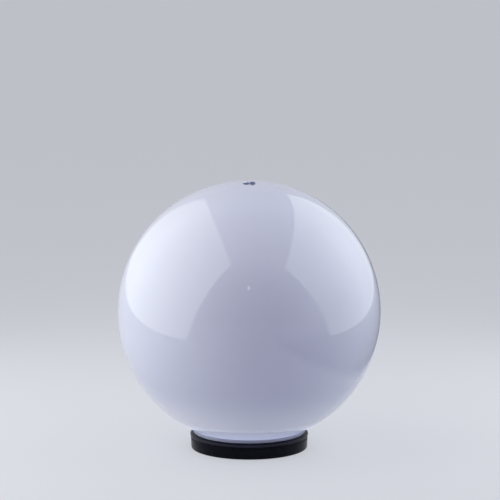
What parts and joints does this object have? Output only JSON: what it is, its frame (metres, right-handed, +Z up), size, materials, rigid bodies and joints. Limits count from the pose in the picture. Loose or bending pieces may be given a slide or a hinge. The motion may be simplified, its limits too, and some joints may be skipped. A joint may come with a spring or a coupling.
{
  "type": "garden lantern",
  "caption": "Opal globe lantern on a low round black base for a garden post; the globe unscrews to reach a lamp in a porcelain holder on a steel bracket.",
  "frame": {"origin": "centre of the underside, on the post, under the middle of the globe", "axes": "+Z up along the globe's axis, front towards -Y"},
  "size_m": [0.2, 0.2, 0.2057],
  "materials": {
    "opal_acrylic": "high gloss opal",
    "gasket_silicone": "satin",
    "seal_rubber": "matt",
    "base_plastic": "semi-gloss",
    "bracket_steel": "zinc plated",
    "screw_steel": "zinc plated",
    "porcelain": "glazed",
    "shell_brass": "drawn brass",
    "contact_bronze": "spring bronze",
    "terminal_brass": "turned brass",
    "cap_nickel": "nickel plated",
    "cap_insulator": "glossy",
    "contact_tin": "tinned",
    "lamp_plastic": "satin",
    "lamp_diffuser": "frosted",
    "cup_aluminium": "drawn",
    "board_white": "white coated",
    "chip_phosphor": "phosphor filled",
    "board_green": "coated laminate",
    "driver_dark": "moulded"
  },
  "bodies": {
    "base": {"base_housing": "base_plastic", "foot_gasket": "seal_rubber", "cable_grommet": "seal_rubber", "holder_bracket": "bracket_steel", "bracket_screws": "screw_steel", "lampholder_body": "porcelain", "screw_shell": "shell_brass", "centre_contact": "contact_bronze", "shell_contact": "contact_bronze", "contact_screw": "terminal_brass", "terminal_clamps": "screw_steel", "terminal_screws": "terminal_brass", "holder_screws": "screw_steel", "holder_nuts": "screw_steel"},
    "rim_gasket": {"rim_gasket": "gasket_silicone"},
    "neck_seal": {"neck_seal": "seal_rubber"},
    "globe": {"globe": "opal_acrylic"},
    "bulb_contact": {"bulb_contact": "contact_tin"},
    "bulb": {"bulb_cap": "cap_nickel", "bulb_insulator": "cap_insulator", "bulb_housing": "lamp_plastic", "bulb_diffuser": "lamp_diffuser", "heat_cup": "cup_aluminium", "led_board": "board_white", "led_chips": "chip_phosphor", "driver_board": "board_green", "driver_parts": "driver_dark"}
  },
  "joints": [
    {"name": "globe_lift_off", "type": "slide", "parent": "base", "child": "rim_gasket", "axis": [0, 0, 1], "range_m": [0, 0.16]},
    {"name": "globe_rise", "type": "slide", "parent": "rim_gasket", "child": "neck_seal", "axis": [0, 0, 1], "range_m": [0, 0.006]},
    {"name": "globe_unscrew", "type": "hinge", "parent": "neck_seal", "child": "globe", "pos_m": [0, 0, 0.0125], "axis": [0, 0, 1], "range_deg": [0, 540]},
    {"name": "bulb_rise", "type": "slide", "parent": "base", "child": "bulb_contact", "axis": [0, 0, 1], "range_m": [0, 0.01814]},
    {"name": "bulb_unscrew", "type": "hinge", "parent": "bulb_contact", "child": "bulb", "pos_m": [0, 0, 0.0345], "axis": [0, 0, 1], "range_deg": [0, 1800]}
  ],
  "couplings": [
    {"joint": "globe_rise", "follows": "globe_unscrew", "m_per_rad": 0.00063662},
    {"joint": "bulb_rise", "follows": "bulb_unscrew", "m_per_rad": 0.0005775}
  ]
}
